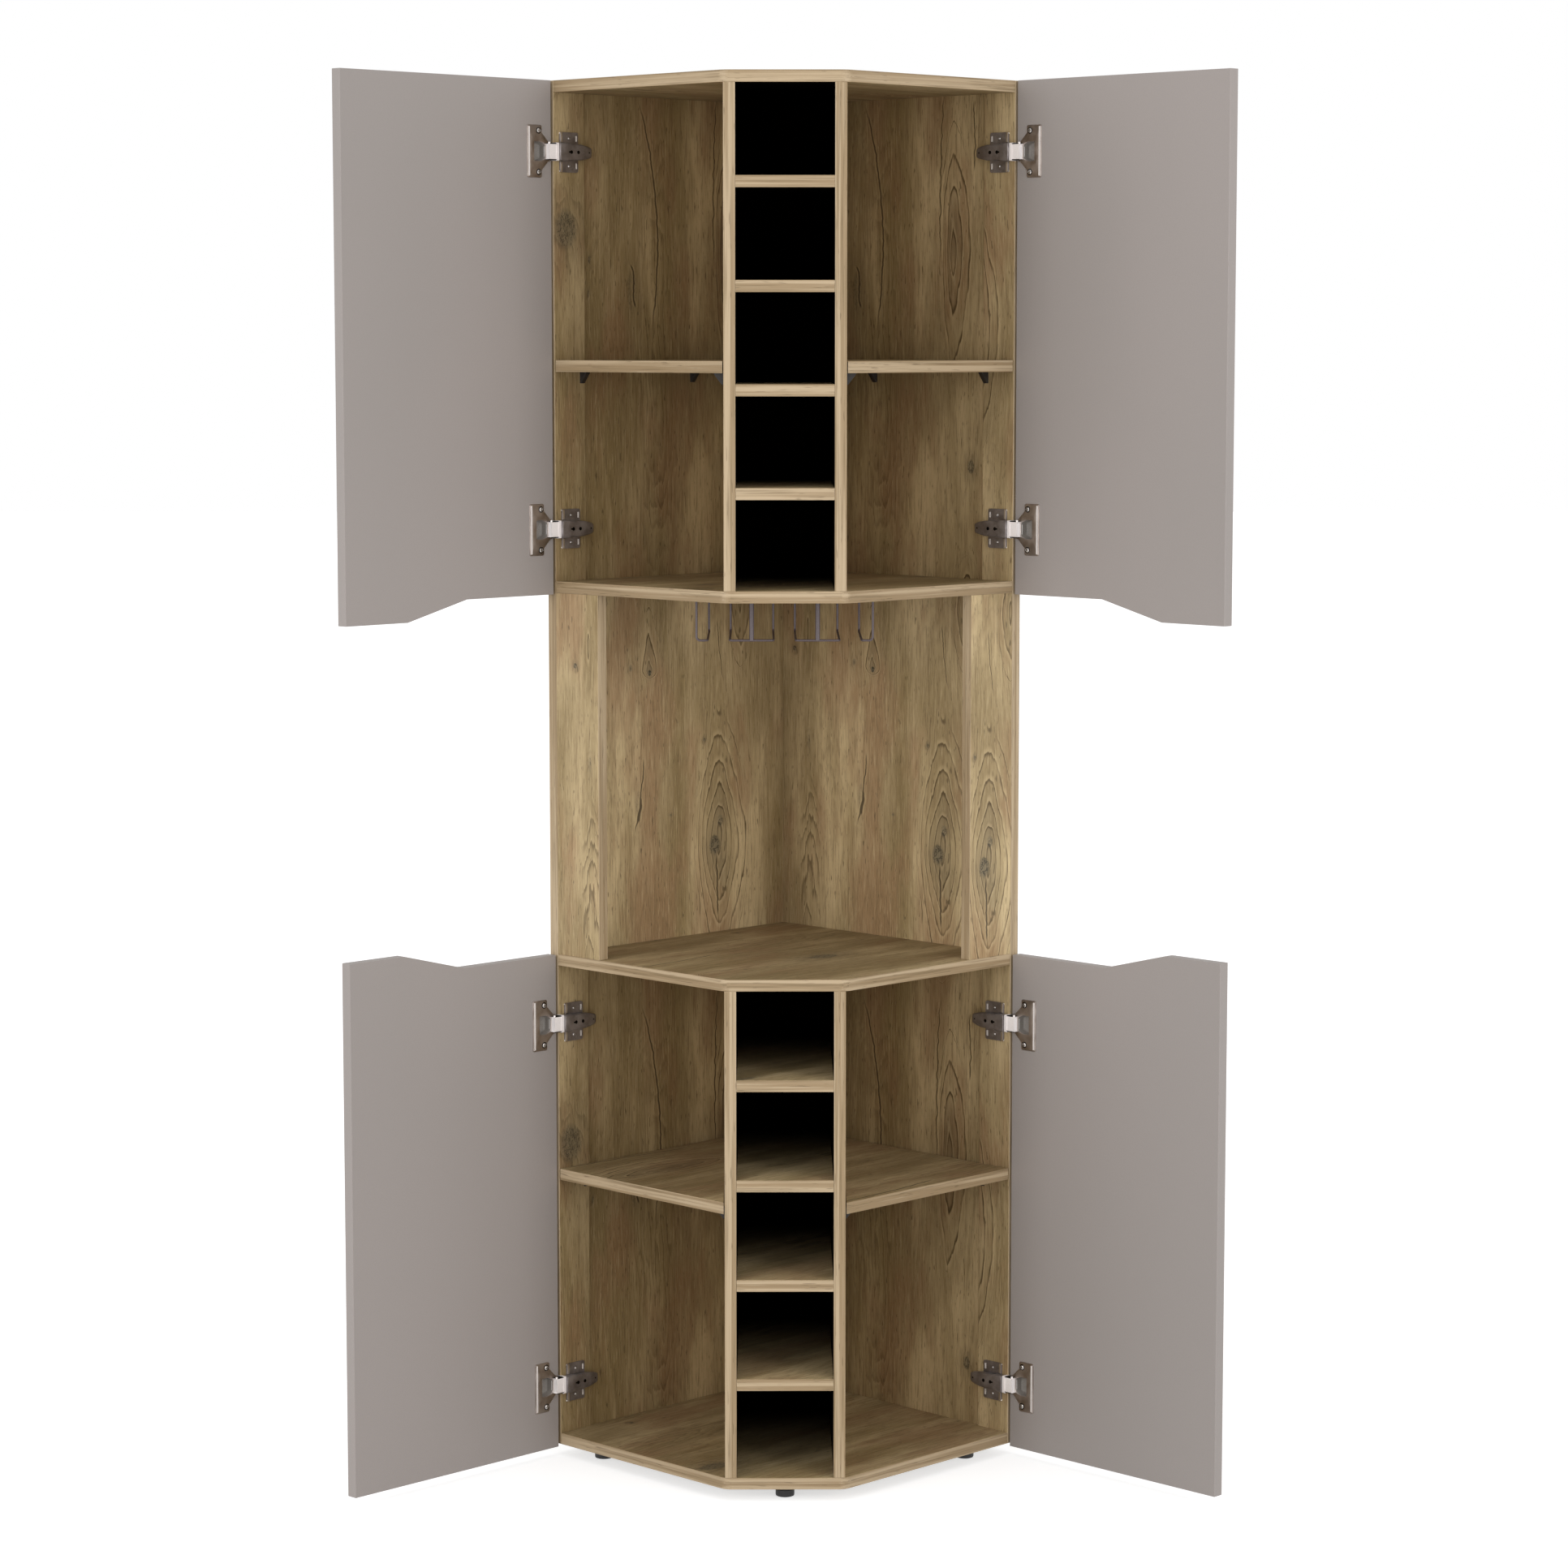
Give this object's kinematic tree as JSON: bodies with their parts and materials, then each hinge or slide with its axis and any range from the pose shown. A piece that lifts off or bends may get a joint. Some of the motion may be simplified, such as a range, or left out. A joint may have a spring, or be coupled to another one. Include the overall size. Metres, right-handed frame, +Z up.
{
  "type": "corner bar cabinet",
  "caption": "Tall corner bar cabinet: bottle cubbies between side compartments above and below an open niche with a stem glass rack, and doors on concealed hinges, shown open.",
  "frame": {"origin": "on the floor, at the centre of the box around the cabinet with its doors open as at rest", "axes": "+Z up, +X to the right seen from the front, +Y from the front towards the room's corner"},
  "size_m": [1.1086, 0.5632, 1.8],
  "materials": {
    "oak_board": "matt printed oak foil on particle board",
    "door_board": "matt plain taupe foil on particle board",
    "hinge_steel": "dark nickel plate",
    "hinge_link": "white lacquer",
    "black_screw": "blackened",
    "screw": "zinc plated",
    "rack_wire": "dark grey satin coat",
    "foot_plastic": "moulded black",
    "support_plastic": "moulded black",
    "dowel": "plain beech"
  },
  "bodies": {
    "carcass": {"back_panel_left": "oak_board", "back_panel_right": "oak_board", "back_panel_screws": "screw", "board_dowels": "dowel", "bottom_panel": "oak_board", "cubby_shelf_dowels": "dowel", "foot_screws": "screw", "front_foot": "foot_plastic", "hinge_arm_screws": "black_screw", "hinge_arms": "hinge_steel", "hinge_links": "hinge_link", "hinge_mounting_plates": "hinge_steel", "hinge_plate_screws": "screw", "left_foot": "foot_plastic", "lower_cubby_shelf_1": "oak_board", "lower_cubby_shelf_2": "oak_board", "lower_cubby_shelf_3": "oak_board", "lower_cubby_shelf_4": "oak_board", "lower_side_shelf_left": "oak_board", "lower_side_shelf_right": "oak_board", "lower_upright_left": "oak_board", "lower_upright_right": "oak_board", "niche_floor_panel": "oak_board", "niche_strip_left": "oak_board", "niche_strip_right": "oak_board", "rear_foot": "foot_plastic", "right_foot": "foot_plastic", "shelf_supports": "support_plastic", "side_stile_left": "oak_board", "side_stile_right": "oak_board", "stem_rack_ceiling_bars": "rack_wire", "stem_rack_middle_loops": "rack_wire", "stem_rack_outer_rails": "rack_wire", "stem_rack_posts": "rack_wire", "stem_rack_screws": "screw", "top_panel": "oak_board", "upper_cubby_shelf_1": "oak_board", "upper_cubby_shelf_2": "oak_board", "upper_cubby_shelf_3": "oak_board", "upper_cubby_shelf_4": "oak_board", "upper_floor_panel": "oak_board", "upper_side_shelf_left": "oak_board", "upper_side_shelf_right": "oak_board", "upper_upright_left": "oak_board", "upper_upright_right": "oak_board"},
    "upper_left_door": {"upper_left_cup_screws": "screw", "upper_left_door_panel": "door_board", "upper_left_hinge_cups": "hinge_steel"},
    "upper_right_door": {"upper_right_cup_screws": "screw", "upper_right_door_panel": "door_board", "upper_right_hinge_cups": "hinge_steel"},
    "lower_left_door": {"lower_left_cup_screws": "screw", "lower_left_door_panel": "door_board", "lower_left_hinge_cups": "hinge_steel"},
    "lower_right_door": {"lower_right_cup_screws": "screw", "lower_right_door_panel": "door_board", "lower_right_hinge_cups": "hinge_steel"}
  },
  "joints": [
    {"name": "upper_left_door_hinge", "type": "hinge", "parent": "carcass", "child": "upper_left_door", "pos_m": [-0.30822, -0.03673, 1.471], "axis": [0, 0, 1], "range_deg": [-15, 90]},
    {"name": "upper_right_door_hinge", "type": "hinge", "parent": "carcass", "child": "upper_right_door", "pos_m": [0.30822, -0.03673, 1.471], "axis": [0, 0, -1], "range_deg": [-15, 90]},
    {"name": "lower_left_door_hinge", "type": "hinge", "parent": "carcass", "child": "lower_left_door", "pos_m": [-0.30822, -0.03673, 0.341], "axis": [0, 0, 1], "range_deg": [-15, 90]},
    {"name": "lower_right_door_hinge", "type": "hinge", "parent": "carcass", "child": "lower_right_door", "pos_m": [0.30822, -0.03673, 0.341], "axis": [0, 0, -1], "range_deg": [-15, 90]}
  ]
}
